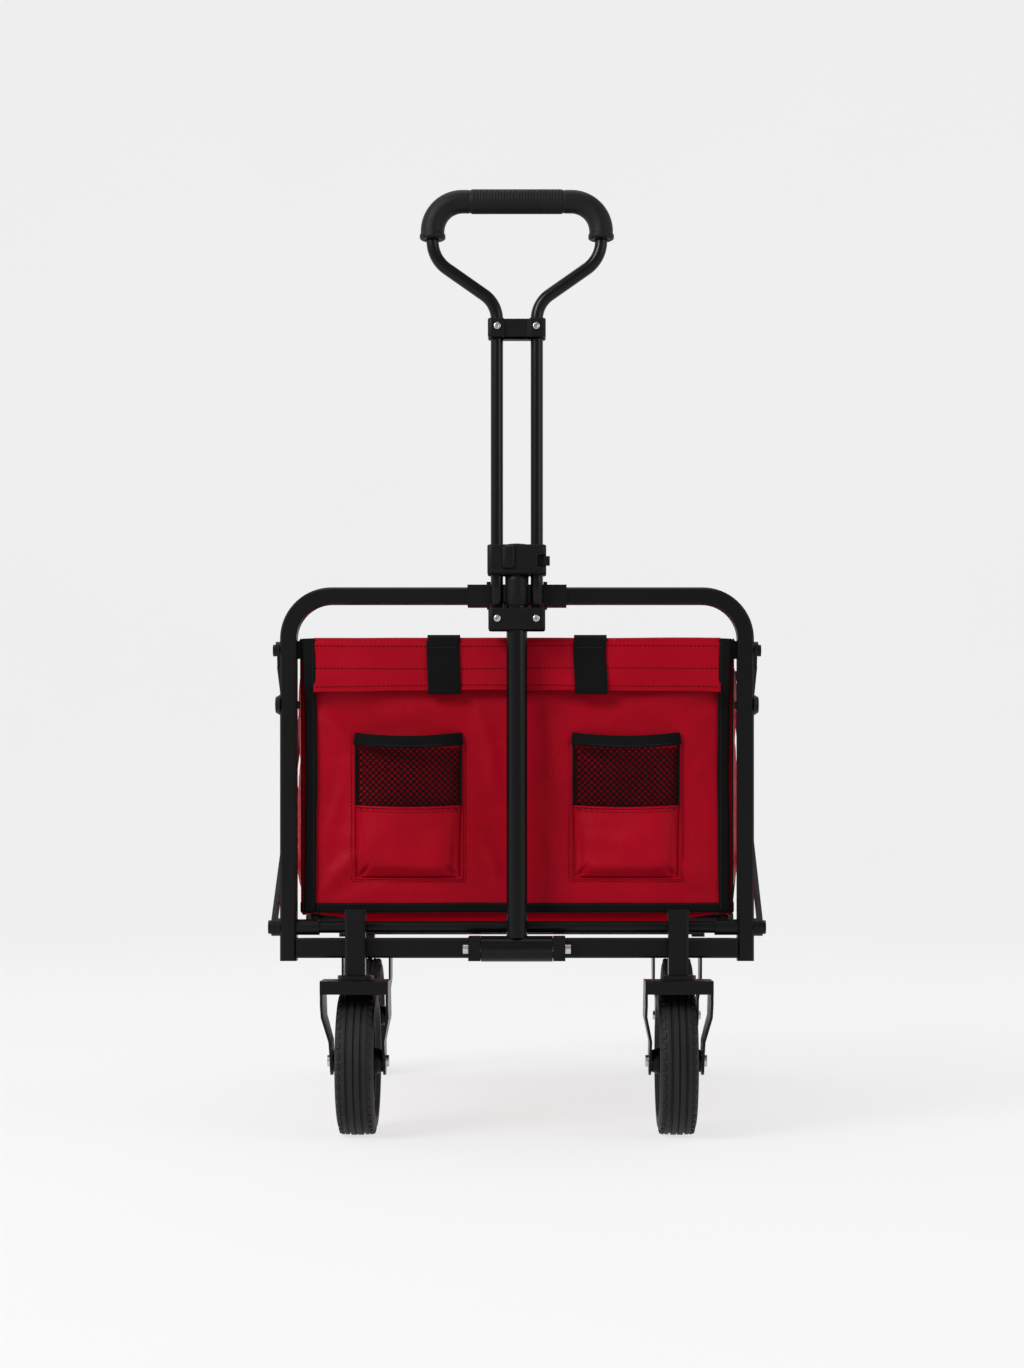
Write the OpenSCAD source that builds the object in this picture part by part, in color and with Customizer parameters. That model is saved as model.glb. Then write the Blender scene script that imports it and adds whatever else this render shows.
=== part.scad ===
// Folding utility wagon: red fabric basket on a black steel scissor frame,
// two swivel casters in front, two fixed wheels at the rear, and a
// telescoping pull handle. Millimetres, Z up, the front looks along -Y.

/* [Frame] */
// Height of the two hoops above the ground
hoop_top = 555.2; // [540:1:575]
// Outside width across the hoop legs
hoop_w = 478.4; // [470:0.2:486]
// Height of the lower crossbars' undersides
bar_z = 181; // [178:1:184]
// Wall of the steel tubes
wall = 1.5; // [1.2:0.1:2]

/* [Scissor links] */
// Height of the lower link pivots
piv_z = 212; // [211:1:216]
// Height of the studs that carry the upper link ends
stud_z = 492; // [488:1:496]
// Width of a flat link
link_w = 18; // [16:1:20]

/* [Wheels] */
// Radius of a wheel
wheel_r = 75; // [73:0.5:75]
// Width of a tyre
tyre_w = 38; // [34:1:40]
// Distance from the middle to a front caster
cast_x = 162; // [158:1:166]
// Distance from the middle to a rear wheel
rear_x = 203; // [200:1:205]

/* [Handle] */
// Diameter of the main pole
pole_d = 21; // [20:0.5:21]
// Diameter of the loop tube
loop_d = 12.5; // [11:0.5:12.5]
// Height of the grip's top
grip_top = 952.5; // [940:0.5:960]

/* [Basket] */
// Half width of the basket
bag_x = 218; // [214:1:218]
// Height of the basket's top edge
bag_top = 505; // [500:1:508]
// Height of the basket's floor
bag_z = 226; // [224:1:230]

/* [Hidden] */
$fn = 48;

yf = -369;              // front hoop plane
yr = 351;               // rear hoop plane
ym = (yf + yr) / 2;     // plane of the middle hubs
leg = 16.4;             // tube size across X
dep = 20;               // tube size along Y
lx = hoop_w / 2 - leg / 2;
bend = 43.8;            // centreline bend radius of the hoop
hub = 13;               // pivot offset from the middle hub plane
by = hoop_w / 2 + 0.6;  // inner link layer
ax = hoop_w / 2 + 5.2;  // outer link layer
lt = 4;                 // link thickness
hy = -393;              // handle plane
hz = 191;               // handle hinge height
stem_y = -389;          // caster swivel axis
wy = -351;              // caster wheel axle at rest
wz = wheel_r;
span = ym - hub - yf;   // horizontal run of one link
rise = stud_z - piv_z;
run = sqrt(span * span + rise * rise);
tilt = atan(rise / span);
steel = [0.035, 0.035, 0.04];
plastic = [0.05, 0.05, 0.055];
zinc = [0.62, 0.63, 0.65];
red = [0.6, 0.03, 0.09];

// ring-shaped tube outline
module tube2(w, d, t = wall, c = 2) {
    difference() {
        oct2(w, d, c);
        oct2(w - 2 * t, d - 2 * t, max(0.6, c - 0.6));
    }
}
module oct2(w, d, c) polygon([[-w / 2 + c, -d / 2], [w / 2 - c, -d / 2], [w / 2, -d / 2 + c], [w / 2, d / 2 - c],
    [w / 2 - c, d / 2], [-w / 2 + c, d / 2], [-w / 2, d / 2 - c], [-w / 2, -d / 2 + c]]);
module xcyl(x0, x1, y, z, r) translate([x0, y, z]) rotate([0, 90, 0]) cylinder(r = r, h = x1 - x0);
module box(x0, x1, y0, y1, z0, z1) translate([x0, y0, z0]) cube([x1 - x0, y1 - y0, z1 - z0]);
module both() { children(); mirror([1, 0, 0]) children(); }

// one hoop: two legs, two bends and the top bar, drilled for the link bolts
module hoop(y) {
    zc = hoop_top - leg / 2 - bend;
    color(steel) difference() {
        union() {
            both() translate([lx, y, bar_z]) linear_extrude(zc - bar_z) tube2(leg, dep);
            both() translate([lx - bend, y, zc]) rotate([90, 0, 0]) rotate_extrude(angle = 90) translate([bend, 0]) tube2(leg, dep);
            translate([-(lx - bend), y, hoop_top - leg / 2]) rotate([0, 90, 0]) linear_extrude(2 * (lx - bend)) tube2(leg, dep);
        }
        for (z = [piv_z, stud_z, 437]) both() xcyl(200, 260, y, z, 4);
    }
}
module crossbar(y) xbar(y, bar_z + 10, hoop_w / 2 - leg);
module xbar(y, z, half) translate([-half, y, z]) rotate([0, 90, 0]) linear_extrude(2 * half) tube2(20, 20);
module top_bar(y) color(steel) box(-(hoop_w / 2 - leg), hoop_w / 2 - leg, y - 2.5, y + 2.5, 484, 502);
module pivot_tube(y) {
    color(steel) xcyl(-200, 200, y, piv_z, 6);
    color(plastic) both() difference() { xcyl(200, hoop_w / 2 - leg, y, piv_z, 8); xcyl(199, 240, y, piv_z, 4); }
}
// pivot bolts, seat studs and tab bolts of one hoop
module link_bolts(y) color(zinc) both() {
    xcyl(200, ax + lt + 0.2, y, piv_z, 4);
    xcyl(ax + lt + 0.2, ax + lt + 3.2, y, piv_z, 7);
    difference() { xcyl(hoop_w / 2, ax - 0.2, y, piv_z, 9); xcyl(230, 250, y, piv_z, 4); }
    xcyl(hoop_w / 2 - 8, by + lt + 0.4, y, stud_z, 4);
    xcyl(by + lt + 0.4, by + lt + 3, y, stud_z, 6);
    xcyl(hoop_w / 2 - leg - 3, hoop_w / 2, y, 437, 4);
    translate([hoop_w / 2, y, 437]) rotate([0, 90, 0]) cylinder(r1 = 11, r2 = 8, h = 5);
}
module leg_plug(x, y) translate([x, y, 178]) linear_extrude(3) oct2(leg, dep, 2);
module stem(x, y, z0, z1) translate([x, y, z0]) linear_extrude(z1 - z0) tube2(20, 20);

// a straight flat link between two pins, with round ends
module link(x0, y0, z0, y1, z1, r0, r1) {
    a = atan2(z1 - z0, y1 - y0);
    l = sqrt(pow(z1 - z0, 2) + pow(y1 - y0, 2));
    translate([x0, y0, z0]) rotate([a, 0, 0]) difference() {
        union() {
            box(0, lt, 0, l, -link_w / 2, link_w / 2);
            xcyl(0, lt, 0, 0, link_w / 2);
            xcyl(0, lt, l, 0, link_w / 2);
        }
        if (r0 > 0) xcyl(-1, lt + 1, 0, 0, r0);
        if (r1 > 0) xcyl(-1, lt + 1, l, 0, r1);
        xcyl(-1, lt + 1, l / 2, 0, 3.2);
    }
}
module lower_links(y, s) color(steel) both()
    link(ax, y, piv_z, ym - s * hub, stud_z, 4.1, 3.1);
module upper_links(y, s) color(steel) both() difference() {
    link(by, ym - s * hub, piv_z, y, stud_z, 3.1, 0);
    translate([by - 1, y, stud_z]) rotate([90, 0, 90]) linear_extrude(lt + 2)
        polygon([[-4.4, 4.4], [4.4, 4.4], [5, 0], [9, -16], [-9, -16], [-5, 0]]);
}
module scissor_bolts(y, s) {
    my = (y + ym - s * hub) / 2;
    mz = (piv_z + stud_z) / 2;
    color(zinc) both() {
        xcyl(by - 3, ax + lt, my, mz, 3);
        xcyl(by - 5, by - 0.4, my, mz, 5);
        xcyl(ax + lt, ax + lt + 2.6, my, mz, 6);
    }
}

// wheel fork, built at x = 0: a top plate with a turned-down lip and two legs
// that step in towards the hub
module fork(y0, wyy, z0, z1, w, lip = 9) {
    half = w / 2;
    t = 2.6;
    low = 25.6;
    difference() {
        union() {
            box(-half, half, y0 - 22, y0 + 24, z0, z1);
            if (lip > 0) box(-half, half, y0 - 24, y0 - 22, z0 - lip, z1);
            both() intersection() {
                translate([0, y0 + 60, 0]) rotate([90, 0, 0]) linear_extrude(120)
                    polygon([[half, z0], [half, 122], [low + t, 96], [low + t, 60], [low, 60], [low, 96.8], [half - t, 122.8], [half - t, z0]]);
                translate([20, 0, 0]) rotate([90, 0, 90]) linear_extrude(20)
                    polygon([[y0 - 22, z0], [y0 + 24, z0], [wyy + 15, wz + 4], [wyy + 9, wz - 11], [wyy + 4, wz - 14], [wyy - 4, wz - 14], [wyy - 9, wz - 11], [wyy - 15, wz + 4], [y0 - 22, z0 - 20]]);
            }
        }
        xcyl(-60, 60, wyy, wz, 4);
    }
}
module axle(y) {
    color(zinc) {
        xcyl(-28.4, 28.4, y, wz, 4);
        xcyl(-31.4, -28.2, y, wz, 6);
        xcyl(28.2, 31.4, y, wz, 6);
    }
}
module tyre(x, y) {
    r = wheel_r; h = tyre_w / 2;
    color([0.03, 0.03, 0.03]) translate([x, y, wz]) rotate([0, 90, 0]) rotate_extrude()
        polygon([[54, -h + 4], [58, -h], [r - 8, -h], [r - 2.5, -h + 3], [r - 0.4, -h + 8],
            [r - 0.4, -8.6], [r - 2, -8], [r - 2, -6.4], [r, -5.8], [r, -1], [r - 1.8, -0.6], [r - 1.8, 0.6], [r, 1], [r, 5.8], [r - 2, 6.4],
            [r - 2, 8], [r - 0.4, 8.6], [r - 0.4, h - 8], [r - 2.5, h - 3], [r - 8, h], [58, h], [54, h - 4]]);
}
module rim(x, y) {
    color(plastic) translate([x, y, wz]) rotate([0, 90, 0]) difference() {
        rotate_extrude() polygon([[4.1, -25], [11, -25], [13, -20], [14, -4], [46, -4], [48, -14], [54, -15], [54, 15], [48, 14], [46, 4], [14, 4], [13, 20], [11, 25], [4.1, 25]]);
        for (a = [0:60:300]) rotate([0, 0, a]) translate([30, 0, -10]) cylinder(r = 9, h = 20);
    }
}

module front_hoop() hoop(yf);
module rear_hoop() hoop(yr);
module front_crossbar() color(steel) {
    crossbar(yf);
    both() difference() {
        box(36.5, 48.5, hy - 12, yf + 12, bar_z - 2, bar_z + 22);
        box(30, 60, yf - 10, yf + 10, bar_z, bar_z + 20);
        xcyl(30, 60, hy, hz, 3);
    }
}
module rear_crossbar() color(steel) crossbar(yr);
module front_top_bar() top_bar(yf + 5.5);
module rear_top_bar() top_bar(yr - 5.5);
module front_pivot_tube() pivot_tube(yf);
module rear_pivot_tube() pivot_tube(yr);
module front_link_bolts() link_bolts(yf);
module rear_link_bolts() link_bolts(yr);
module front_tube_plugs() color(plastic) both() {
    leg_plug(lx, yf);
    translate([cast_x, stem_y, 220]) linear_extrude(10) oct2(21, 21, 2.5);
}
module rear_tube_plugs() color(plastic) both() leg_plug(lx, yr);
module caster_stems() color(steel) both() stem(cast_x, stem_y, 164, 220);
module caster_bearings() color(steel) both() {
    translate([cast_x, stem_y, 159.6]) cylinder(r = 18, h = 4.4);
    translate([cast_x, stem_y, 152.8]) cylinder(r = 5, h = 6.8);
    translate([cast_x, stem_y, 150.6]) cylinder(r = 8, h = 2.2);
}
module caster_fork(x) color(steel) translate([x, 0, 0]) difference() {
    fork(stem_y, wy, 155, 159.3, 68);
    translate([0, stem_y, 140]) cylinder(r = 5.1, h = 30);
    translate([0, stem_y, 140]) cylinder(r = 9, h = 15);
}
module caster_fork_left() caster_fork(-cast_x);
module caster_fork_right() caster_fork(cast_x);
module caster_axle_left() translate([-cast_x, 0, 0]) axle(wy);
module caster_axle_right() translate([cast_x, 0, 0]) axle(wy);
module tyre_front_left() tyre(-cast_x, wy);
module tyre_front_right() tyre(cast_x, wy);
module rim_front_left() rim(-cast_x, wy);
module rim_front_right() rim(cast_x, wy);
module tyre_rear_left() tyre(-rear_x, yr);
module tyre_rear_right() tyre(rear_x, yr);
module rim_rear_left() rim(-rear_x, yr);
module rim_rear_right() rim(rear_x, yr);
module rear_wheel_forks() color(steel) both() translate([rear_x, 0, 0]) {
    fork(yr, yr, 153, 157, 64, 0);
    stem(0, yr, 157, bar_z);
}
module rear_axles() both() translate([rear_x, 0, 0]) axle(yr);

// fabric: plain closed sheets of the true outer size
module basket_front() color(red) difference() {
    box(-bag_x, bag_x, yf - 2.5, yf + 12, bag_z, bag_top);
    box(-230, 230, yf, yf + 9.5, 450, bag_top - 2);
    box(-230, 230, yf - 3, yf + 9.5, bag_z - 1, 450.1);
}
module basket_rear() color(red) difference() {
    box(-bag_x, bag_x, yr - 12, yr + 2.5, bag_z, bag_top);
    box(-230, 230, yr - 9.5, yr, 450, bag_top - 2);
    box(-230, 230, yr - 9.5, yr + 3, bag_z - 1, 450.1);
}
module basket_left() color(red) box(-bag_x - 3.6, -bag_x, yf + 12.5, yr - 12.5, bag_z, bag_top);
module basket_right() color(red) box(bag_x, bag_x + 3.6, yf + 12.5, yr - 12.5, bag_z, bag_top);
module basket_floor() color(red) box(-bag_x, bag_x, yf + 12.5, yr - 12.5, bag_z, bag_z + 3);

module lower_links_front() lower_links(yf, 1);
module lower_links_rear() lower_links(yr, -1);
module upper_links_front() upper_links(yf, 1);
module upper_links_rear() upper_links(yr, -1);
module scissor_bolts_front() scissor_bolts(yf, 1);
module scissor_bolts_rear() scissor_bolts(yr, -1);

// middle hubs with their pins
module hub_plate(x0, x1, z) {
    box(x0, x1, ym - hub, ym + hub, z - 13, z + 13);
    for (s = [-1, 1]) xcyl(x0, x1, ym + s * hub, z, 13);
}
module top_hubs() both() {
    color(plastic) hub_plate(hoop_w / 2 - 3, ax - 0.4, stud_z);
    color(zinc) for (s = [-1, 1]) {
        xcyl(ax - 0.4, ax + lt + 0.4, ym + s * hub, stud_z, 3);
        xcyl(ax + lt + 0.4, ax + lt + 3, ym + s * hub, stud_z, 6);
    }
}
module bottom_hubs() both() {
    color(plastic) hub_plate(hoop_w / 2 - 7, by - 0.4, piv_z);
    color(zinc) for (s = [-1, 1]) {
        xcyl(by - 0.4, by + lt + 0.4, ym + s * hub, piv_z, 3);
        xcyl(by + lt + 0.4, by + lt + 3, ym + s * hub, piv_z, 6);
    }
}
module bottom_hub_tube() color(steel) xcyl(-(hoop_w / 2 - 7), hoop_w / 2 - 7, ym, piv_z, 6);

// pull handle
module handle_hinge_pin() color(zinc) {
    xcyl(-52, 52, hy, hz, 3);
    xcyl(-54, -48.5, hy, hz, 5);
    xcyl(48.5, 54, hy, hz, 5);
}
module handle_clip() color(plastic) difference() {
    union() {
        box(-50, 50, -381.6, yf + 12.5, 536.5, 557.5);
        both() box(11.4, 13.4, -396, -381.6, 538, 556);
        both() box(26.5, 30.5, -384, yf + 12.5, 534.5, 560);
    }
    box(-51, 51, yf - 10, yf + 10, hoop_top - leg, hoop_top);
}
module handle_pole() color(steel) difference() {
    union() {
        translate([0, hy, hz + 11]) cylinder(d = pole_d, h = 596 - hz - 11);
        xcyl(-36, 36, hy, hz, 13);
    }
    xcyl(-40, 40, hy, hz, 3.08);
}
module pad(x, y0, y1, z0, z1, r) {
    box(-x, x, y0 + r, y1 - r, z0, z1);
    box(-x + r, x - r, y0, y1, z0, z1);
    for (s = [-1, 1]) for (y = [y0 + r, y1 - r]) translate([s * (x - r), y, z0]) cylinder(r = r, h = z1 - z0);
}
module handle_housing() color(plastic) difference() {
    pad(29.5, hy - 14, hy + 14, 565.5, 595, 5);
    translate([0, hy, 560]) cylinder(d = pole_d, h = 40);
    both() translate([20, hy, 560]) cylinder(d = loop_d + 0.16, h = 40);
    box(21, 31, hy - 16, hy - 8, 573, 584);
}
module latch_button() color(plastic) box(27, 33, hy - 13.6, hy - 8.4, 574, 583);
module handle_slider() color(plastic) difference() {
    pad(28.5, hy - 13, hy + 13, 510, 532, 4);
    translate([0, hy, 500]) cylinder(d = pole_d + 0.16, h = 40);
    both() translate([20, hy, 500]) cylinder(d = loop_d, h = 40);
}
module handle_clamp() color(plastic) difference() {
    pad(29, hy - 12, hy + 12, 802.5, 821.5, 4);
    both() translate([20, hy, 800]) cylinder(d = loop_d, h = 40);
    box(-12.5, 12.5, hy - 13, hy - 8, 801, 823);
}
module handle_screws() color(zinc) both() for (p = [[521, -13], [813, -12]])
    translate([20, hy + p[1], p[0]]) rotate([90, 0, 0]) cylinder(r = 3.4, h = 1.2);
// loop path in the handle plane: [x, z, angle from vertical], right half, going up
dg = 55;
arc_a = 30; arc_b = 34; arc_c = 30; diag = 45.4;
xa = 20 + arc_a * (1 - cos(dg)); za = 822 + arc_a * sin(dg);
xb = xa + diag * sin(dg); zb = za + diag * cos(dg);
gx = xb + arc_b * (1 - cos(dg)); zc = zb + arc_b * sin(dg);
gz = grip_top - 12.5;
corner = [for (i = [0:8]) [gx - arc_c * (1 - cos(i * 11.25)), gz - arc_c + arc_c * sin(i * 11.25), -i * 11.25]];
loop_half = concat([[20, 511, 0]],
    [for (i = [0:5]) [20 + arc_a * (1 - cos(i * dg / 5)), 822 + arc_a * sin(i * dg / 5), i * dg / 5]],
    [for (i = [0:5]) let(t = dg - i * dg / 5) [gx - arc_b * (1 - cos(t)), zc - arc_b * sin(t), t]],
    corner);
function other(p) = [for (i = [len(p) - 1:-1:0]) [-p[i][0], p[i][1], 180 - p[i][2]]];
module sweep(path, r, n = 20) {
    m = len(path);
    pts = [for (q = path) for (k = [0:n - 1]) let(a = 360 * k / n)
        [q[0] - r * cos(a) * cos(q[2]), hy + r * sin(a), q[1] + r * cos(a) * sin(q[2])]];
    polyhedron(pts, concat([[for (k = [0:n - 1]) k]], [[for (k = [n - 1:-1:0]) (m - 1) * n + k]],
        [for (i = [0:m - 2]) for (k = [0:n - 1]) let(k2 = (k + 1) % n)
            [i * n + k, (i + 1) * n + k, (i + 1) * n + k2, i * n + k2]]));
}
module handle_loop() color(steel) sweep(concat(loop_half, other(loop_half)), loop_d / 2);
// the same sweep as a hollow sleeve
module sleeve(path, r, ri, n = 20) {
    m = len(path);
    o = m * n;
    e = (m - 1) * n;
    pts = [for (rr = [r, ri]) for (q = path) for (k = [0:n - 1]) let(a = 360 * k / n)
        [q[0] - rr * cos(a) * cos(q[2]), hy + rr * sin(a), q[1] + rr * cos(a) * sin(q[2])]];
    polyhedron(pts, concat(
        [for (k = [0:n - 1]) let(k2 = (k + 1) % n) [k, k2, o + k2, o + k]],
        [for (k = [0:n - 1]) let(k2 = (k + 1) % n) [e + k2, e + k, o + e + k, o + e + k2]],
        [for (i = [0:m - 2]) for (k = [0:n - 1]) let(k2 = (k + 1) % n)
            [i * n + k, (i + 1) * n + k, (i + 1) * n + k2, i * n + k2]],
        [for (i = [0:m - 2]) for (k = [0:n - 1]) let(k2 = (k + 1) % n)
            [o + i * n + k2, o + (i + 1) * n + k2, o + (i + 1) * n + k, o + i * n + k]]));
}
module handle_grip() color(plastic) {
    half = concat([[gx, zc + 1.2, 0]], corner);
    sleeve(concat(half, other(half)), 12.5, loop_d / 2 + 0.06);
}

front_hoop();
front_crossbar();
front_top_bar();
front_pivot_tube();
front_link_bolts();
front_tube_plugs();
caster_stems();
caster_bearings();
handle_hinge_pin();
handle_clip();
basket_front();
basket_left();
basket_right();
basket_floor();
caster_fork_left();
caster_fork_right();
caster_axle_left();
caster_axle_right();
tyre_front_left();
tyre_front_right();
rim_front_left();
rim_front_right();
rear_hoop();
rear_crossbar();
rear_top_bar();
rear_pivot_tube();
rear_link_bolts();
rear_tube_plugs();
rear_wheel_forks();
rear_axles();
basket_rear();
tyre_rear_left();
tyre_rear_right();
rim_rear_left();
rim_rear_right();
lower_links_front();
lower_links_rear();
upper_links_front();
upper_links_rear();
scissor_bolts_front();
scissor_bolts_rear();
top_hubs();
bottom_hubs();
bottom_hub_tube();
handle_pole();
handle_housing();
latch_button();
handle_loop();
handle_grip();
handle_clamp();
handle_slider();
handle_screws();
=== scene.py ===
import bpy, bmesh, math
import numpy as np
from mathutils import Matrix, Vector, noise


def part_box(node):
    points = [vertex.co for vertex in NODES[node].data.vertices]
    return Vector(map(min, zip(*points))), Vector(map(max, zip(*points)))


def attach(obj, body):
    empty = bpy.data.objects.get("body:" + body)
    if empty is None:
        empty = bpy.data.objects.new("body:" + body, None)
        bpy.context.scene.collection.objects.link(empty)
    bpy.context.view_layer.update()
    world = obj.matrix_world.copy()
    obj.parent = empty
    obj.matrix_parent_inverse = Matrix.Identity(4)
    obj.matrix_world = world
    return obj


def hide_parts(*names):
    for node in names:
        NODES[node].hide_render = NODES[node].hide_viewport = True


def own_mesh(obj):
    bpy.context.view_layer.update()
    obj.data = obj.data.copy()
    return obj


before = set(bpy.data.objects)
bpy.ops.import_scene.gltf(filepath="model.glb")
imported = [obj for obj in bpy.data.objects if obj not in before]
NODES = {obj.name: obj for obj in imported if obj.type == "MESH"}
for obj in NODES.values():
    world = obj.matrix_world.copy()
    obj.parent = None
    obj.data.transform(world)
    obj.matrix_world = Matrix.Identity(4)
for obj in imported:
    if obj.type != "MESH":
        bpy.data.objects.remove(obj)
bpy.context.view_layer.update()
C = bpy.context

# ------------------------------------------------------------ frame places
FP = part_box("basket_front")
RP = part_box("basket_rear")
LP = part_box("basket_left")
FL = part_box("basket_floor")
BX = FP[1][0]                 # half width of the basket
ZB, ZT = FP[0][2], FP[1][2]   # floor and top edge
YFLAP = FP[0][1]              # front of the hem
YMAIN = FP[1][1] - 0.0025     # front of the main sheet
HZ = 0.451                    # lower edge of the hem
YH = (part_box("handle_pole")[0][1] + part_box("handle_pole")[1][1]) / 2


# ------------------------------------------------------------ materials
def nodes_of(name):
    m = bpy.data.materials.new(name)
    m.use_nodes = True
    t = m.node_tree
    return m, t, t.nodes["Principled BSDF"], t.nodes.new("ShaderNodeTexCoord").outputs["Object"]


def ramp(t, fac, stops):
    r = t.nodes.new("ShaderNodeValToRGB")
    e = r.color_ramp.elements
    while len(e) < len(stops):
        e.new(0.5)
    for k, (p, c) in zip(e, stops):
        k.position = p
        k.color = (*c, 1) if len(c) == 3 else c
    t.links.new(fac, r.inputs[0])
    return r.outputs[0]


def noise_tex(t, co, scale, detail=4, rough=0.55, dist=0.0):
    n = t.nodes.new("ShaderNodeTexNoise")
    n.inputs["Scale"].default_value = scale
    n.inputs["Detail"].default_value = detail
    n.inputs["Roughness"].default_value = rough
    n.inputs["Distortion"].default_value = dist
    t.links.new(co, n.inputs["Vector"])
    return n.outputs["Fac"]


def wave(t, co, scale, direction, kind="BANDS", dist=0.0):
    w = t.nodes.new("ShaderNodeTexWave")
    w.wave_type = kind
    w.bands_direction = direction
    w.inputs["Scale"].default_value = scale
    w.inputs["Distortion"].default_value = dist
    w.inputs["Detail"].default_value = 1
    t.links.new(co, w.inputs["Vector"])
    return w.outputs["Fac"]


def math_(t, op, a, b):
    n = t.nodes.new("ShaderNodeMath")
    n.operation = op
    for i, v in enumerate((a, b)):
        if isinstance(v, (int, float)):
            n.inputs[i].default_value = v
        else:
            t.links.new(v, n.inputs[i])
    return n.outputs[0]


def bump(t, bsdf, height, strength, dist, prev=None):
    b = t.nodes.new("ShaderNodeBump")
    b.inputs["Strength"].default_value = strength
    b.inputs["Distance"].default_value = dist
    t.links.new(height, b.inputs["Height"])
    if prev is not None:
        t.links.new(prev, b.inputs["Normal"])
    t.links.new(b.outputs[0], bsdf.inputs["Normal"])
    return b.outputs[0]


def hard(name, lo, hi, r0, r1, grain, gs=0.12, spec=0.5, metal=0.0, coat=0.0, big=9.0):
    m, t, b, co = nodes_of(name)
    n = noise_tex(t, co, big, 5)
    t.links.new(ramp(t, n, [(0.3, lo), (0.72, hi)]), b.inputs["Base Color"])
    f = noise_tex(t, co, grain, 3, 0.6)
    rr = math_(t, "ADD", math_(t, "MULTIPLY", noise_tex(t, co, big * 6, 4), r1 - r0), r0)
    t.links.new(rr, b.inputs["Roughness"])
    b.inputs["Specular IOR Level"].default_value = spec
    b.inputs["Metallic"].default_value = metal
    b.inputs["Coat Weight"].default_value = coat
    b.inputs["Coat Roughness"].default_value = 0.25
    bump(t, b, f, gs, 0.0004)
    return m


def fabric(name, lo, hi, rough, pitch=0.0011, sheen=0.15, bs=0.25, tint=(1, 1, 1), spec=0.06):
    """plain weave from crossed threads, in the plane a surface faces"""
    m, t, b, co = nodes_of(name)
    s = 1 / pitch / 6.2832 * 1.0
    a1 = wave(t, co, 1 / pitch * 0.31831, "X", dist=0.4)
    a2 = wave(t, co, 1 / pitch * 0.31831, "Z", dist=0.4)
    a3 = wave(t, co, 1 / pitch * 0.31831, "Y", dist=0.4)
    weave = math_(t, "MULTIPLY", math_(t, "ADD", a1, a3), a2)
    big = noise_tex(t, co, 7, 5, 0.6)
    fine = noise_tex(t, co, 420, 3, 0.7)
    mixf = math_(t, "ADD", math_(t, "MULTIPLY", big, 0.7), math_(t, "ADD", math_(t, "MULTIPLY", fine, 0.18), math_(t, "MULTIPLY", weave, 0.10)))
    t.links.new(ramp(t, mixf, [(0.3, lo), (0.75, hi)]), b.inputs["Base Color"])
    t.links.new(math_(t, "ADD", math_(t, "MULTIPLY", fine, 0.18), rough - 0.09), b.inputs["Roughness"])
    b.inputs["Specular IOR Level"].default_value = spec
    b.inputs["Sheen Weight"].default_value = sheen
    b.inputs["Sheen Roughness"].default_value = 0.45
    b.inputs["Sheen Tint"].default_value = (*tint, 1)
    b1 = bump(t, b, weave, bs, 0.00025)
    bump(t, b, noise_tex(t, co, 30, 4, 0.6), 0.22, 0.003, b1)
    return m


M = {}
M["steel"] = hard("powder_coat", (0.0034, 0.0034, 0.0036), (0.0050, 0.0050, 0.0053), 0.27, 0.37, 1500, 0.08, 0.13, coat=0.04)
M["loopsteel"] = hard("gloss_paint", (0.0026, 0.0026, 0.0028), (0.0036, 0.0036, 0.0038), 0.18, 0.26, 900, 0.02, 0.16, coat=0.06)
M["plastic"] = hard("moulded_plastic", (0.0034, 0.0034, 0.0036), (0.0054, 0.0054, 0.0057), 0.36, 0.48, 2200, 0.14, 0.14)
M["foam"] = hard("grip_foam", (0.0045, 0.0045, 0.0047), (0.0078, 0.0078, 0.0080), 0.42, 0.56, 2600, 0.30, 0.16, big=22)
M["tyre"] = hard("tyre_rubber", (0.0080, 0.0080, 0.0080), (0.0180, 0.0177, 0.0173), 0.50, 0.70, 1300, 0.3, 0.18, big=14)
M["zinc"] = hard("zinc_plate", (0.42, 0.43, 0.45), (0.66, 0.67, 0.68), 0.18, 0.34, 700, 0.08, 0.5, metal=1.0, big=60)
M["red"] = fabric("red_polyester", (0.262, 0.0004, 0.0066), (0.352, 0.0012, 0.0125), 0.46, sheen=0.015, tint=(1, 0.3, 0.35))
M["redin"] = fabric("red_lining", (0.260, 0.0006, 0.0062), (0.340, 0.0012, 0.0115), 0.60, sheen=0.0, tint=(1, 0.3, 0.35), spec=0.0)
M["tape"] = fabric("binding_tape", (0.0026, 0.0026, 0.0028), (0.0058, 0.0058, 0.0062), 0.72, pitch=0.0009, sheen=0.02, bs=0.5)
M["web"] = fabric("webbing", (0.0024, 0.0024, 0.0026), (0.0052, 0.0052, 0.0056), 0.66, pitch=0.0016, sheen=0.02, bs=0.8)
M["net"] = fabric("net", (0.0024, 0.0023, 0.0024), (0.005, 0.0048, 0.005), 0.55, pitch=0.0008, sheen=0.01, bs=0.2)
M["thread"] = fabric("thread_red", (0.060, 0.0006, 0.0016), (0.10, 0.0008, 0.003), 0.6, pitch=0.0005, sheen=0.01, bs=0.2)
M["threadb"] = fabric("thread_black", (0.012, 0.012, 0.013), (0.03, 0.03, 0.031), 0.55, pitch=0.0005, sheen=0.05, bs=0.2)
# lighter red than the cloth: a painted highlight on the floor's edge piping
M["pipe"] = fabric("piping_highlight", (0.36, 0.010, 0.02), (0.50, 0.03, 0.045), 0.5, pitch=0.0008, sheen=0.02, bs=0.2)


def paint(o, mat):
    o.data.materials.clear() if False else None
    if not o.material_slots:
        o.data.materials.append(None)
    for s in o.material_slots:
        s.link = "OBJECT"
        s.material = mat


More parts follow.
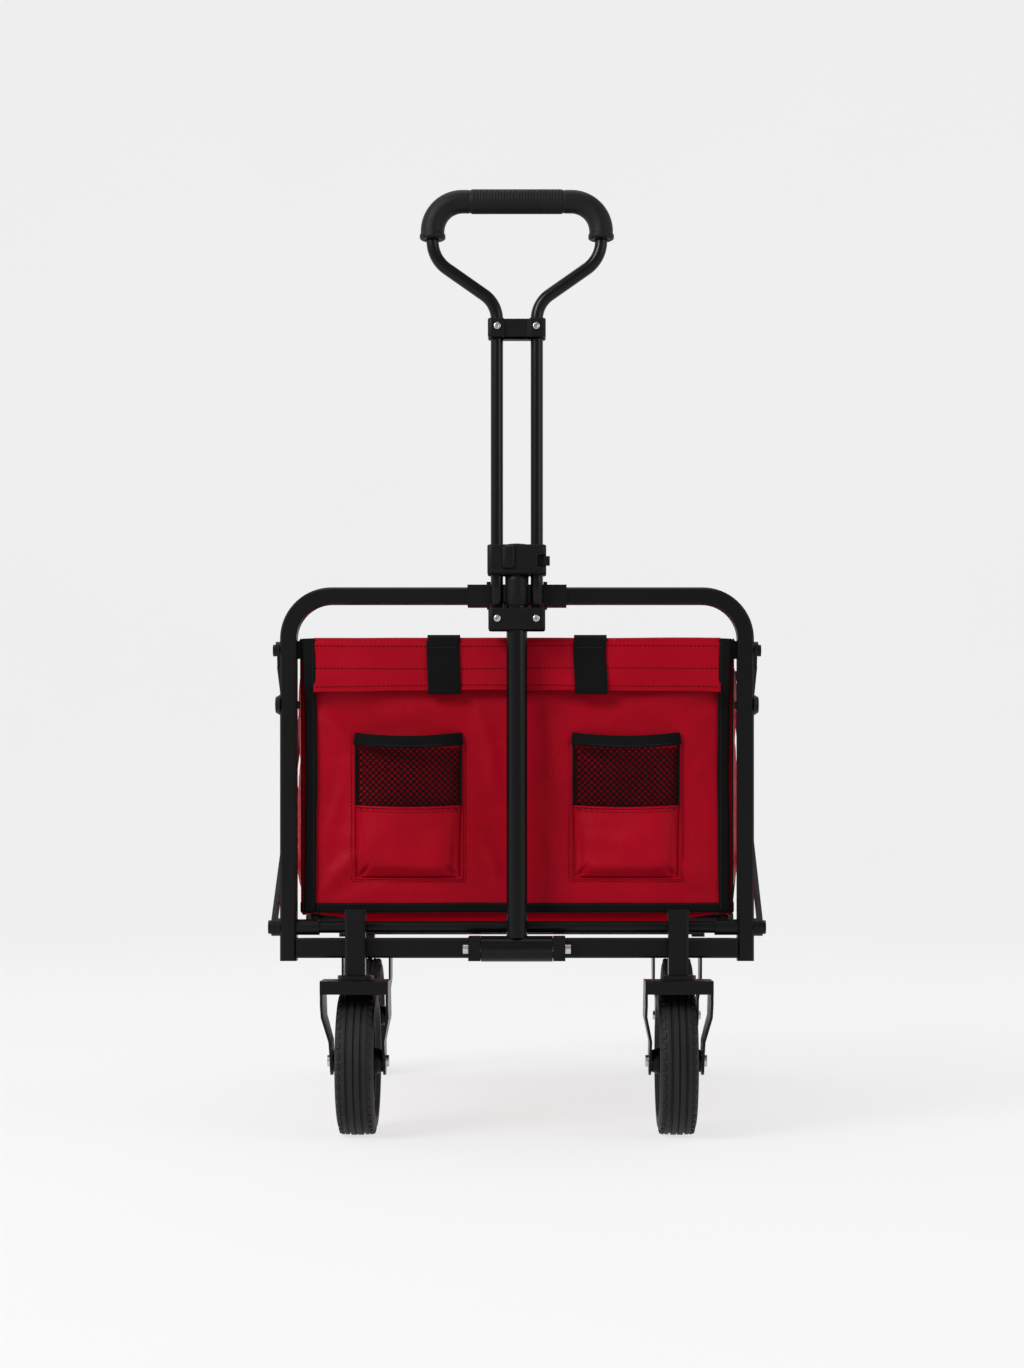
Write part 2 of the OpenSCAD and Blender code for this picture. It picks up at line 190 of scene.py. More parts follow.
ZINC = ("handle_hinge_pin", "caster_axle_left", "caster_axle_right", "rear_axles", "handle_screws")
PLASTIC = ("front_tube_plugs", "rear_tube_plugs", "handle_clip", "handle_housing", "handle_clamp", "handle_slider", "latch_button",
           "top_hubs", "bottom_hubs", "rim_front_left", "rim_front_right", "rim_rear_left", "rim_rear_right")
for n, o in NODES.items():
    if n.startswith("tyre"):
        paint(o, M["tyre"])
    elif n in ZINC:
        paint(o, M["zinc"])
    elif n in PLASTIC:
        paint(o, M["plastic"])
    elif n == "handle_grip":
        paint(o, M["foam"])
    elif n == "handle_pole":
        paint(o, M["loopsteel"])
    else:
        paint(o, M["steel"])


# edges that a mould or a tumbling drum leaves round
ROUND = {"handle_housing": 0.0016, "handle_clamp": 0.0016, "handle_slider": 0.0016}
for n, w in ROUND.items():
    if n not in NODES:
        continue
    o = NODES[n]
    a = o.modifiers.new("weld", "WELD")
    a.merge_threshold = 0.00001
    a = o.modifiers.new("flat", "DECIMATE")
    a.decimate_type = "DISSOLVE"
    a.angle_limit = math.radians(0.8)
    a = o.modifiers.new("round", "BEVEL")
    a.width = w
    a.segments = 3
    a.limit_method = "ANGLE"
    a.angle_limit = math.radians(50)
    a.use_clamp_overlap = False


# ------------------------------------------------------------ mesh helpers
def make(name, verts, faces, mat, body="root", smooth=True):
    me = bpy.data.meshes.new(name)
    me.from_pydata([tuple(v) for v in verts], [], faces)
    me.validate()
    if smooth:
        me.polygons.foreach_set("use_smooth", [True] * len(me.polygons))
    me.materials.append(mat)
    o = bpy.data.objects.new(name, me)
    C.scene.collection.objects.link(o)
    bm = bmesh.new()
    bm.from_mesh(me)
    bmesh.ops.recalc_face_normals(bm, faces=bm.faces)
    bm.to_mesh(me)
    bm.free()
    if body:
        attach(o, body)
    return o


def apply_mods(o):
    for x in list(C.selected_objects):
        x.select_set(False)
    C.view_layer.objects.active = o
    o.select_set(True)
    for m in list(o.modifiers):
        bpy.ops.object.modifier_apply(modifier=m.name)
    o.select_set(False)


def grid_pts(fn, us, vs):
    return np.array([[fn(u, v) for v in vs] for u in us], float)


def shell_from(P, thick, name, mat, body, sign=1.0):
    """closed sheet from a grid of points, grown along its normals"""
    nu, nv = P.shape[:2]
    du = np.gradient(P, axis=0)
    dv = np.gradient(P, axis=1)
    N = np.cross(du, dv)
    N /= np.linalg.norm(N, axis=2, keepdims=True) + 1e-12
    Q = P + N * thick * sign
    V = np.concatenate([P.reshape(-1, 3), Q.reshape(-1, 3)])
    o = nu * nv
    F = []
    for i in range(nu - 1):
        for j in range(nv - 1):
            a, b, c, d = i * nv + j, (i + 1) * nv + j, (i + 1) * nv + j + 1, i * nv + j + 1
            F.append((a, b, c, d))
            F.append((o + d, o + c, o + b, o + a))
    for i in range(nu - 1):
        for j in (0, nv - 1):
            a, b = i * nv + j, (i + 1) * nv + j
            F.append((a, o + a, o + b, b))
    for j in range(nv - 1):
        for i in (0, nu - 1):
            a, b = i * nv + j, i * nv + j + 1
            F.append((a, b, o + b, o + a))
    return make(name, V, F, mat, body, True)


def tape(pts, normals, width, thick, name, mat, body, crown=0.0):
    """flat band along points; normals give its face, its width runs across"""
    pts = np.array(pts, float)
    nr = np.array(normals, float)
    T = np.gradient(pts, axis=0)
    T /= np.linalg.norm(T, axis=1, keepdims=True) + 1e-12
    nr -= (nr * T).sum(1, keepdims=True) * T
    nr /= np.linalg.norm(nr, axis=1, keepdims=True) + 1e-12
    S = np.cross(T, nr)
    prof = [(-0.5, 0), (-0.5, 0.55), (-0.46, 0.9), (-0.3, 1.0), (0, 1.0 + crown), (0.3, 1.0), (0.46, 0.9), (0.5, 0.55), (0.5, 0)]
    m = len(prof)
    V = [p + s * (a * width) + q * (b * thick) for p, s, q in zip(pts, S, nr) for a, b in prof]
    F = []
    for i in range(len(pts) - 1):
        for k in range(m):
            k2 = (k + 1) % m
            F.append((i * m + k, (i + 1) * m + k, (i + 1) * m + k2, i * m + k2))
    F.append(tuple(range(m)))
    F.append(tuple((len(pts) - 1) * m + k for k in range(m - 1, -1, -1)))
    return make(name, V, F, mat, body, True)


def tube(pts, rad, name, mat, body, n=24, loop=False, caps=True):
    pts = np.array(pts, float)
    rad = np.broadcast_to(np.array(rad, float), (len(pts),))
    T = np.gradient(pts, axis=0)
    T /= np.linalg.norm(T, axis=1, keepdims=True) + 1e-12
    up = np.array([0.0, 1.0, 0.0])
    V, F = [], []
    for p, t, r in zip(pts, T, rad):
        a = np.cross(up, t)
        if np.linalg.norm(a) < 1e-6:
            a = np.array([1.0, 0, 0])
        a /= np.linalg.norm(a)
        b = np.cross(t, a)
        for k in range(n):
            w = 2 * math.pi * k / n
            V.append(p + r * (math.cos(w) * a + math.sin(w) * b))
    for i in range(len(pts) - 1):
        for k in range(n):
            k2 = (k + 1) % n
            F.append((i * n + k, (i + 1) * n + k, (i + 1) * n + k2, i * n + k2))
    if caps:
        F.append(tuple(range(n)))
        F.append(tuple((len(pts) - 1) * n + k for k in range(n - 1, -1, -1)))
    return make(name, V, F, mat, body, True)


class Stitches:
    """short raised threads, collected into one mesh"""
    def __init__(self):
        self.V, self.F = [], []

    def line(self, pts, normals, pitch=0.0042, length=0.0030, r=0.00052):
        pts = np.array(pts, float)
        nr = np.array(normals, float)
        d = np.r_[0, np.cumsum(np.linalg.norm(np.diff(pts, axis=0), axis=1))]
        s = pitch / 2
        while s + length < d[-1]:
            a = np.array([np.interp(s, d, pts[:, k]) for k in range(3)])
            b = np.array([np.interp(s + length, d, pts[:, k]) for k in range(3)])
            q = np.array([np.interp(s, d, nr[:, k]) for k in range(3)])
            t = b - a
            t /= np.linalg.norm(t)
            side = np.cross(t, q)
            side /= np.linalg.norm(side)
            o = len(self.V)
            for f, k in ((0, 0.35), (0.3, 1.0), (0.7, 1.0), (1, 0.35)):
                c = a + (b - a) * f
                for w in range(6):
                    an = 2 * math.pi * w / 6
                    self.V.append(c + r * k * (math.cos(an) * side + math.sin(an) * q))
            for i in range(3):
                for w in range(6):
                    w2 = (w + 1) % 6
                    self.F.append((o + i * 6 + w, o + i * 6 + 6 + w, o + i * 6 + 6 + w2, o + i * 6 + w2))
            self.F.append(tuple(o + w for w in range(6)))
            self.F.append(tuple(o + 18 + w for w in range(5, -1, -1)))
            s += pitch

    def done(self, name, mat, body):
        return make(name, self.V, self.F, mat, body, True)


def nz(x, y, z, s):
    return noise.noise(Vector((x * s, y * s, z * s)))


def smooth(x, a, b):
    t = min(1.0, max(0.0, (x - a) / (b - a)))
    return t * t * (3 - 2 * t)


# ------------------------------------------------------------ end panels of the basket
CREASES = [
    (-0.205, 0.242, -0.150, 0.300, 0.0026, 0.0075), (-0.200, 0.262, -0.176, 0.372, 0.0020, 0.0060),
    (-0.212, 0.430, -0.160, 0.395, 0.0024, 0.0070), (-0.040, 0.440, -0.018, 0.340, 0.0020, 0.0080),
    (0.030, 0.440, 0.050, 0.330, 0.0022, 0.0085), (0.016, 0.330, 0.046, 0.262, 0.0018, 0.0070),
    (0.206, 0.244, 0.172, 0.276, 0.0026, 0.0070), (0.210, 0.425, 0.182, 0.360, 0.0022, 0.0060),
    (-0.140, 0.250, -0.030, 0.243, 0.0016, 0.0060), (0.060, 0.247, 0.150, 0.243, 0.0015, 0.0060),
    (-0.036, 0.300, -0.016, 0.258, 0.0016, 0.0060),
]


def main_off(x, z, seed):
    """how far the taut sheet leaves its flat plane, outward positive, metres"""
    ex = smooth(BX - abs(x), 0.0, 0.05)
    ez = smooth(z - ZB, 0.0, 0.05) * smooth(HZ + 0.03 - z, -0.02, 0.05)
    soft = 0.0074 * nz(x, seed, z, 6.2) + 0.0040 * nz(x * 0.7 + z * 0.6 + 3, seed, z - x * 0.4, 14.0) + 0.0011 * nz(x * 0.5 + 7, seed, z * 1.4, 46.0)
    # tension folds that run in from the lower corners and from the hem
    for sx in (-1, 1):
        dx, dz = (BX - sx * x), (z - ZB)
        r = math.hypot(dx, dz)
        ang = math.atan2(dz, dx)
        soft += 0.0034 * math.sin(ang * 8.5 + seed) * math.exp(-r / 0.085) * smooth(r, 0.005, 0.035)
        dz2 = HZ - z
        r = math.hypot(dx, dz2)
        ang = math.atan2(dz2, dx)
        soft += 0.0030 * math.sin(ang * 7 + 1 + seed) * math.exp(-r / 0.10) * smooth(r, 0.005, 0.04)
    soft += 0.0009 * math.sin(x * 58 + 2.5 * nz(x, seed, z, 5)) * math.exp(-(HZ - z) / 0.05 if z < HZ else 0)
    # single creases left by packing: (x, z) start, end, height, width
    for x0, z0, x1, z1, h, w in CREASES:
        ux, uz = x1 - x0, z1 - z0
        l2 = ux * ux + uz * uz
        f = ((x - x0) * ux + (z - z0) * uz) / l2
        if -0.2 < f < 1.2:
            q = ((x - x0) * uz - (z - z0) * ux) / math.sqrt(l2) + 0.004 * nz(f, x0, seed, 2.0)
            soft += h * math.exp(-(q / w) ** 2) * smooth(f, -0.2, 0.35) * smooth(1.2 - f, 0, 0.6)
    return min(0.0085, max(-0.0048, 0.0016 + soft)) * ex * ez


def end_panel(prefix, body, s, y_main, y_flap, replaces, pockets, seed):
    """s = -1 for the front (outward is -Y), +1 for the rear"""
    xs = np.linspace(-BX + 0.0015, BX - 0.0015, 150)
    zs = np.linspace(ZB + 0.001, ZT - 0.004, 110)

    def ymain(x, z):
        return y_main + s * main_off(x, z, seed)

    P = np.array([[(x, ymain(x, z), z) for z in zs] for x in xs])
    sheet = shell_from(P, 0.0014, prefix + "_sheet", M["red"], body, sign=-1.0 if s < 0 else 1.0)
    # make the thickness grow inward
    pr = sheet
    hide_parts(replaces)

    # hem: runs up the outside, over the top bar and down the inside
    def hem_off(x, z):
        k = smooth(HZ + 0.04 - z, 0, 0.04)
        w = 0.0018 * math.sin(x * 31 + seed) + 0.0011 * nz(x, seed, z, 16) + 0.0014 * math.sin(x * 13 + 1.3)
        return (0.0006 + 0.5 * w) * k + 0.0005 * nz(x, seed + 4, z, 30)

    def hem_bottom(x):
        return HZ + 0.0012 * math.sin(x * 9 + 0.8 + seed) + 0.0008 * nz(x, seed, 1, 22)

    prof = []
    yb = y_main - s * 0.0006
    hx = np.linspace(-BX + 0.012, BX - 0.012, 130)
    rows = []
    for x in hx:
        row = []
        zb = hem_bottom(x)
        for f in np.linspace(0, 1, 22):
            z = zb + (ZT - 0.0075 - zb) * f
            row.append((x, y_flap - s * 0.0012 + s * hem_off(x, z), z))
        top = ZT - 0.0075
        yc = (y_flap + y_main) / 2 - s * 0.0006
        ry = abs(y_flap - s * 0.0012 - yc)
        for a in np.linspace(0.12, 1, 12):
            an = a * math.pi / 2 * 2
            row.append((x, yc + s * ry * math.cos(an), top + 0.0068 * math.sin(an) + 0.0006 * nz(x, seed, 2, 18)))
        for f in np.linspace(0.1, 1, 10):
            z = top - (top - HZ - 0.004) * f
            row.append((x, yc - s * ry, z))
        rows.append(row)
    P = np.array(rows)
    hem = shell_from(P, 0.0012, prefix + "_hem", M["red"], body, sign=1.0 if s < 0 else -1.0)

    # rolled hem edge
    ed = [(x, y_flap - s * 0.0004 + s * hem_off(x, hem_bottom(x)), hem_bottom(x) + 0.0006) for x in hx]
    tube(ed, 0.0013, prefix + "_hem_roll", M["red"], body, 10)

    st = Stitches()
    out = np.array([0, s, 0.0])
    for zz in (0.4965, 0.4738):
        ln = [(x, y_flap + s * (hem_off(x, zz) + 0.0001), zz + 0.0005 * math.sin(x * 17)) for x in hx]
        st.line(ln, [out] * len(ln))
    ln = [(x, y_flap + s * (hem_off(x, hem_bottom(x) + 0.0045) + 0.0001), hem_bottom(x) + 0.0045) for x in hx]
    st.line(ln, [out] * len(ln))

    # edge bindings
    for sx in (-1, 1):
        zz = np.linspace(ZB + 0.0005, ZT - 0.001, 90)
        x0 = sx * (BX - 0.0068)
        pts = [(x0 - sx * 0.0022 * math.sin(math.pi * (z - ZB) / (ZT - ZB)) + sx * 0.0010 * nz(1, seed, z, 14), y_flap - s * 0.0008 - s * smooth(HZ - z, -0.012, 0.02) * (abs(y_flap - y_main) - 0.0028), z) for z in zz]
        tape(pts, [out] * len(pts), 0.0118, 0.0020, prefix + ("_binding_l" if sx < 0 else "_binding_r"), M["tape"], body)
        # binding wraps round the edge to the inside
        pts2 = [(sx * (BX + 0.0004), y + (-s) * 0.0022, z) for (x, y, z) in pts]
        tape(pts2, [np.array([sx, 0, 0.0])] * len(pts2), 0.0052, 0.0013, prefix + ("_fold_l" if sx < 0 else "_fold_r"), M["tape"], body)
    xx = np.linspace(-BX + 0.001, BX - 0.001, 110)
    pts = [(x, ymain(x, ZB + 0.005) + s * 0.0002, ZB + 0.0056 + 0.0006 * nz(x, seed, 3, 12)) for x in xx]
    tape(pts, [out] * len(pts), 0.0100, 0.0019, prefix + "_binding_low", M["tape"], body)
    sb = Stitches()
    for sx in (-1, 1):
        zz = np.linspace(ZB + 0.004, ZT - 0.004, 90)
        ln = [(sx * (BX - 0.0115), y_flap - s * 0.0008 - s * smooth(HZ - z, -0.012, 0.02) * (abs(y_flap - y_main) - 0.0028) + s * 0.0019, z) for z in zz]
        sb.line(ln, [out] * len(ln), 0.0038, 0.0026, 0.00035)
    ln = [(x, ymain(x, ZB + 0.005) + s * 0.0021, ZB + 0.0092 + 0.0006 * nz(x, seed, 3, 12)) for x in xx]
    sb.line(ln, [out] * len(ln), 0.0038, 0.0026, 0.00035)

    # two webbing straps over the hem
    for sx in (-1, 1):
        xc = sx * 0.0742
        prof = []
        for f in np.linspace(0, 1, 26):
            z = 0.4475 + (ZT - 0.0062 - 0.4475) * f
            prof.append((y_flap + s * (0.0009 + max(0, hem_off(xc, z)) + 0.0006 * math.sin(f * 5 + sx)), z))
        yc = (y_flap + y_main) / 2
        ry = abs(prof[-1][0] - yc)
        for a in np.linspace(0.12, 1, 12):
            prof.append((yc + s * ry * math.cos(a * math.pi), ZT - 0.0062 + 0.0080 * math.sin(a * math.pi)))
        for f in np.linspace(0.1, 1, 10):
            prof.append((yc - s * ry, ZT - 0.0062 - (ZT - 0.0062 - 0.455) * f))
        rows = []
        for u in np.linspace(-0.0165, 0.0165, 17):
            sag = 0.0004 * math.cos(u / 0.0165 * 1.5)
            rows.append([(xc + u + 0.0009 * math.sin(z * 60) * (1 if i < 26 else 0), y + s * sag * (1 if i < 26 else 0), z) for i, (y, z) in enumerate(prof)])
        shell_from(np.array(rows), 0.0015, prefix + ("_strap_l" if sx < 0 else "_strap_r"), M["web"], body, sign=1.0 if s < 0 else -1.0)
        for zc in (0.4515, 0.4945):
            for dx in ((-0.0145, 0.0145),):
                ln = [(xc + a, y_flap + s * 0.0030, zc) for a in np.linspace(dx[0], dx[1], 8)]
                sb.line(ln, [out] * len(ln), 0.0036, 0.0026, 0.00036)

    if pockets:
        for sx in (-1, 1):
            pocket(prefix, body, s, sx * 0.1105, ymain, st, sb, seed + sx)
    st.done(prefix + "_stitches", M["thread"], body)
    sb.done(prefix + "_tape_stitches", M["threadb"], body)


def pocket(prefix, body, s, xc, ymain, st, sb, seed):
    side = "l" if xc < 0 else "r"
    w = 0.0540
    z0, z1, z2 = 0.2630, 0.3350, 0.4030
    out = np.array([0, s, 0.0])

    def half(z):
        return w - 0.0022 * smooth(z1 + 0.02 - z, 0, 0.07)

    def puff(u, z):
        """how far the pocket stands off the sheet; u from -1 to 1"""
        up = smooth(z, z0 - 0.004, z0 + 0.013)
        a = (1 - abs(u) ** 4.5)
        d = 0.0016 + 0.0105 * up * a
        # belly and slack
        d += 0.0035 * (1 - u * u) * smooth(z, z1 - 0.03, z2)
        d += 0.0016 * nz(u * 2, seed, z * 30, 1.0) * up * a
        # gusset creases at the lower corners
        for c in (-1, 1):
            q = (1 - c * u) * w - (z - z0) * 0.85 - 0.002
            d -= 0.0040 * math.exp(-(q / 0.0022) ** 2) * smooth(z0 + 0.016 - z, 0, 0.010)
            q2 = (1 - c * u) * w - 0.006
            d -= 0.0010 * math.exp(-(q2 / 0.0020) ** 2) * up * smooth(z1 - z, 0.01, 0.05)
        return d

    def surf(u, z, lift=0.0):
        x = xc + u * half(z)
        return (x, ymain(x, z) + s * (puff(u, z) + lift), z)

    us = np.linspace(-1, 1, 64)
    top = lambda u: z1 - 0.0022 * (1 - u * u)
    P = np.array([[surf(u, z0 + (top(u) - z0) * f) for f in np.linspace(0, 1, 40)] for u in us])
    # close the rim against the sheet
    P = np.concatenate([np.array([[(xc - half(q[2]) - 0.0002, ymain(xc - half(q[2]), q[2]) + s * 0.0002, q[2]) for q in P[0]]]), P,
                        np.array([[(xc + half(q[2]) + 0.0002, ymain(xc + half(q[2]), q[2]) + s * 0.0002, q[2]) for q in P[-1]]])])
    shell_from(P, 0.0009, prefix + "_pocket_" + side, M["red"], body, sign=-1.0)
    # seam flange round the pocket
    fl = [(xc - w - 0.0008, z) for z in np.linspace(z2, z0 - 0.001, 40)]
    fl += [(xc + a, z0 - 0.002) for a in np.linspace(-w, w, 40)]
    fl += [(xc + w + 0.0008, z) for z in np.linspace(z0 - 0.001, z2, 40)]
    pts = [(x, ymain(x, z) + s * 0.0004, z) for x, z in fl]
    tube(pts, 0.0011, prefix + "_pocket_seam_" + side, M["red"], body, 8)
    ln = [(xc + (x - xc) * 0.955, ymain(x, z) + s * 0.0001, z) for x, z in fl[:0]]
    ou = [(x + (0.0034 if x > xc else -0.0034) * (1 if abs(x - xc) > w * 0.99 else 0), ymain(x, z) + s * 0.0002, z - (0.003 if z < z0 else 0)) for x, z in fl]
    st.line(ou, [out] * len(ou), 0.0038, 0.0027, 0.00035)
    rim = [surf(u, top(u) - 0.0005, 0.0003) for u in us]
    tube(rim, 0.0011, prefix + "_pocket_rim_" + side, M["red"], body, 8)
    st.line([surf(u, top(u) - 0.0048, 0.0001) for u in us], [out] * len(us), 0.0038, 0.0027, 0.00035)

    # net above: real diamond strands
    d = 0.0031
    nx, nzz = int(2 * w / d), int((z2 - 0.010 - z1 + 0.004) / d)
    bm = bmesh.new()
    vs = {}

    def vert(i, j):
        if (i, j) not in vs:
            u = max(-1, min(1, (i / nx) * 2 - 1))
            z = z1 - 0.004 + j * d
            vs[(i, j)] = bm.verts.new(surf(u, z, -0.0008))
        return vs[(i, j)]
    for i in range(1, nx):
        for j in range(1, nzz):
            if (i + j) % 2:
                bm.faces.new((vert(i - 1, j), vert(i, j - 1), vert(i + 1, j), vert(i, j + 1)))
    me = bpy.data.meshes.new("net")
    bm.to_mesh(me)
    bm.free()
    o = bpy.data.objects.new(prefix + "_net_" + side, me)
    C.scene.collection.objects.link(o)
    wf = o.modifiers.new("w", "WIREFRAME")
    wf.thickness = 0.00215
    wf.use_even_offset = False
    wf.use_boundary = True
    apply_mods(o)
    o.data.materials.clear()
    o.data.materials.append(M["net"])
    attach(o, body)
    # black elastic along the mouth
    mouth = []
    for u in np.linspace(-1.0, 1.0, 50):
        z = z2 - 0.0040 * (1 - u * u)
        mouth.append(surf(u, z, 0.0006))
    tape(mouth, [out] * len(mouth), 0.0128, 0.0020, prefix + "_pocket_mouth_" + side, M["tape"], body)
    sb.line([(p[0], p[1] + s * 0.0021, p[2] - 0.0040) for p in mouth], [out] * len(mouth), 0.0034, 0.0024, 0.00034)
    for c in (-1, 1):
        zz = np.linspace(z1, z2 + 0.006, 24)
        pts = [surf(c * 0.985, z, -0.0002) for z in zz]
        tape(pts, [out] * len(pts), 0.0026, 0.0010, prefix + "_pocket_side_" + side + ("a" if c < 0 else "b"), M["tape"], body)


end_panel("front_panel", "root", -1, YMAIN, YFLAP, "basket_front", True, 0.7)
end_panel("rear_panel", "rear_frame", 1, RP[0][1] + 0.0025, RP[1][1], "basket_rear", False, 2.9)


# ------------------------------------------------------------ sides and floor, as cloth
def cloth_sheet(name, P, push, cap, frames, mat, thick, sign, slot="red_fabric", grow=-0.012):
    nu, nv = P.shape[:2]
    V = P.reshape(-1, 3)
    F = [(i * nv + j, (i + 1) * nv + j, (i + 1) * nv + j + 1, i * nv + j + 1) for i in range(nu - 1) for j in range(nv - 1)]
    me = bpy.data.meshes.new(name + "_sim")
    me.from_pydata([tuple(v) for v in V], [], F)
    o = bpy.data.objects.new(name + "_sim", me)
    C.scene.collection.objects.link(o)
    out = V.copy()
    g = o.vertex_groups.new(name="pin")
    idx = [i * nv + j for i in range(nu) for j in range(nv) if i in (0, nu - 1) or j in (0, nv - 1)]
    g.add(idx, 1.0, "REPLACE")
    m = o.modifiers.new("cloth", "CLOTH")
    st = m.settings
    st.quality = 6
    st.mass = 0.25
    st.tension_stiffness = 25
    st.compression_stiffness = 25
    st.shear_stiffness = 12
    st.bending_stiffness = 0.6
    st.vertex_group_mass = "pin"
    st.shrink_min = grow
    st.use_pressure = False
    st.effector_weights.gravity = push
    m.point_cache.frame_start = 1
    m.point_cache.frame_end = frames
    for f in range(1, frames + 1):
        C.scene.frame_set(f)
    dg = C.evaluated_depsgraph_get()
    ev = o.evaluated_get(dg).to_mesh()
    out = np.array([v.co[:] for v in ev.vertices], float)
    d = out - V
    l = np.linalg.norm(d, axis=1, keepdims=True)
    d *= np.minimum(1.0, cap / np.maximum(l, 1e-9))
    out = V + d
    o.evaluated_get(dg).to_mesh_clear()
    C.scene.frame_set(1)
    bpy.data.objects.remove(o)
    return out.reshape(nu, nv, 3)


Y0, Y1 = LP[0][1] + 0.0005, LP[1][1] - 0.0005
XS = BX + 0.0006


def side_panel(sx, seed):
    ys = np.linspace(Y0, Y1, 120)
    zs = np.linspace(ZB + 0.001, ZT - 0.004, 46)

    def off(y, z):
        e = smooth(y - Y0, 0, 0.07) * smooth(Y1 - y, 0, 0.07)
        v = smooth(z - ZB, 0, 0.06) * smooth(ZT - z, 0, 0.05)
        a = 0.0055 * e * v
        for c in (Y0 + 0.042, Y1 - 0.042):
            a += 0.0052 * math.exp(-((y - c) / 0.026) ** 2) * v * smooth(y - Y0, 0, 0.02) * smooth(Y1 - y, 0, 0.02)
        a += (0.0040 * nz(y, seed, z, 6.5) + 0.0018 * nz(y, seed + 2, z, 15)) * v * smooth(y - Y0, 0, 0.03) * smooth(Y1 - y, 0, 0.03)
        # folds hanging from the scissor's crossing points
        a += 0.0016 * math.sin(y * 62 + 3 * nz(y, seed, z, 4)) * math.exp(-(ZT - z) / 0.11) * v
        return a
    P = np.array([[(sx * (XS + off(y, z)), y, z) for z in zs] for y in ys])
    P = cloth_sheet("side", P, 0.35, 0.006, 14, M["red"], 0.0014, 1)
    P[:, :, 0] = sx * np.clip(sx * P[:, :, 0], XS - 0.004, 0.2325)
    # the webbing sewn down the middle holds the cloth flat behind it
    mid = P[int(np.argmin(abs(ys + 0.009))), :, 0].copy()
    for i, y in enumerate(ys):
        w = 1 - smooth(abs(y + 0.009), 0.019, 0.055)
        P[i, :, 0] = P[i, :, 0] * (1 - w) + mid * w
    name = "side_panel_" + ("l" if sx < 0 else "r")
    o = shell_from(P, 0.0014, name, M["red"], "root", sign=1.0 if sx < 0 else -1.0)
    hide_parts("basket_left" if sx < 0 else "basket_right")
    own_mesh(o)
    # bound top edge, folded over a cord of webbing
    top = []
    for i, y in enumerate(ys):
        top.append((P[i, -1, 0], y, ZT - 0.0040 + 0.0012 * math.sin(y * 22 + seed)))
    t = tube(top, 0.0043, name + "_top_roll", M["tape"], None, 12)
    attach(t, "root")
    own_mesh(t)
    outn = np.array([sx, 0, 0.0])
    low = [(P[i, 0, 0] + sx * 0.0003, y, ZB + 0.0062) for i, y in enumerate(ys)]
    t = tape(low, [outn] * len(low), 0.0105, 0.0018, name + "_low_binding", M["tape"], "root")
    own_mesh(t)
    band = [(P[i, -6, 0] + sx * 0.0004, y, P[i, -6, 2]) for i, y in enumerate(ys)]
    s2 = Stitches()
    for k in (-6, -13):
        s2.line([(P[i, k, 0] + sx * 0.0002, y, P[i, k, 2]) for i, y in enumerate(ys)], [outn] * len(ys), 0.0046, 0.0031, 0.00042)
    q = s2.done(name + "_stitches", M["thread"], "root")
    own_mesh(q)
    # vertical webbing that carries the side at the hubs
    for yc in (-0.009,):
        pts = []
        for j in range(len(zs)):
            i = int(np.argmin(abs(ys - yc)))
            pts.append((P[i, j, 0] + sx * 0.0004, yc, P[i, j, 2]))
        t = tape(pts, [outn] * len(pts), 0.030, 0.0017, name + "_rib", M["web"], "root")
        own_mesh(t)
    return o


side_panel(-1, 1.3)
side_panel(1, 5.1)

ys = np.linspace(Y0, Y1, 90)
xs = np.linspace(-BX + 0.001, BX - 0.001, 56)
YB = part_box("bottom_hub_tube")
YC = (YB[0][1] + YB[1][1]) / 2


def sag(x, y):
    """the floor hangs between the three tubes it lies on, and is sewn to the walls"""
    top, lie = FL[1][2] - 0.0004, YB[1][2] + 0.0022
    f = (abs(y - YC) - 0.034) / ((YC - Y0 if y < YC else Y1 - YC) - 0.034)
    f = min(1.0, max(0.0, f))
    hang = math.sin(math.pi * f) ** 0.8 if 0 < f < 1 else 0.0
    z = lie + (top - lie) * smooth(f, 0, 1) - 0.0105 * hang + 0.0012 * nz(x, y, 0.3, 11) * hang
    return top + (z - top) * smooth(BX - abs(x), 0, 0.07)


P = np.array([[(x, y, sag(x, y)) for y in ys] for x in xs])
P = cloth_sheet("floor", P, 0.6, 0.0030, 14, M["redin"], 0.0014, 1)
near = np.abs(P[:, :, 1] - YC) < 0.036
P[:, :, 2] = np.where(near, np.maximum(P[:, :, 2], YB[1][2] + 0.0020), P[:, :, 2])
P[:, :, 2] = np.clip(P[:, :, 2], 0.2100, 0.236)
floor_o = shell_from(P, 0.0016, "basket_floor_sheet", M["redin"], "root", sign=-1.0)
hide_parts("basket_floor")
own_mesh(floor_o)
# piping cord along each floor edge, in the lighter red of a painted highlight
for sx in (-1, 1):
    pts = [(sx * (BX - 0.0012), y, ZB + 0.0006 + 0.0003 * nz(y, sx, 0.2, 14)) for y in ys]
    t = tube(pts, 0.0027, "floor_piping_" + ("l" if sx < 0 else "r"), M["pipe"], "root", 10)
    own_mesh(t)
# welts where the side panels are sewn to the end panels
for sx in (-1, 1):
    for name, y, body in (("corner_welt_front_", FP[1][1] + 0.0006, "root"), ("corner_welt_rear_", RP[0][1] - 0.0006, "rear_frame")):
        tube([(sx * (BX - 0.0004), y, z) for z in np.linspace(ZB + 0.001, ZT - 0.007, 50)], 0.0024, name + ("l" if sx < 0 else "r"), M["redin"], body, 10)
# welts where the floor is sewn to the end panels
for name, y, body in (("floor_welt_front", FP[1][1] + 0.0012, "root"), ("floor_welt_rear", RP[0][1] - 0.0012, "rear_frame")):
    tube([(x, y, ZB + 0.0016 + 0.0003 * nz(x, y, 0.2, 14)) for x in xs], 0.0025, name, M["redin"], body, 10)


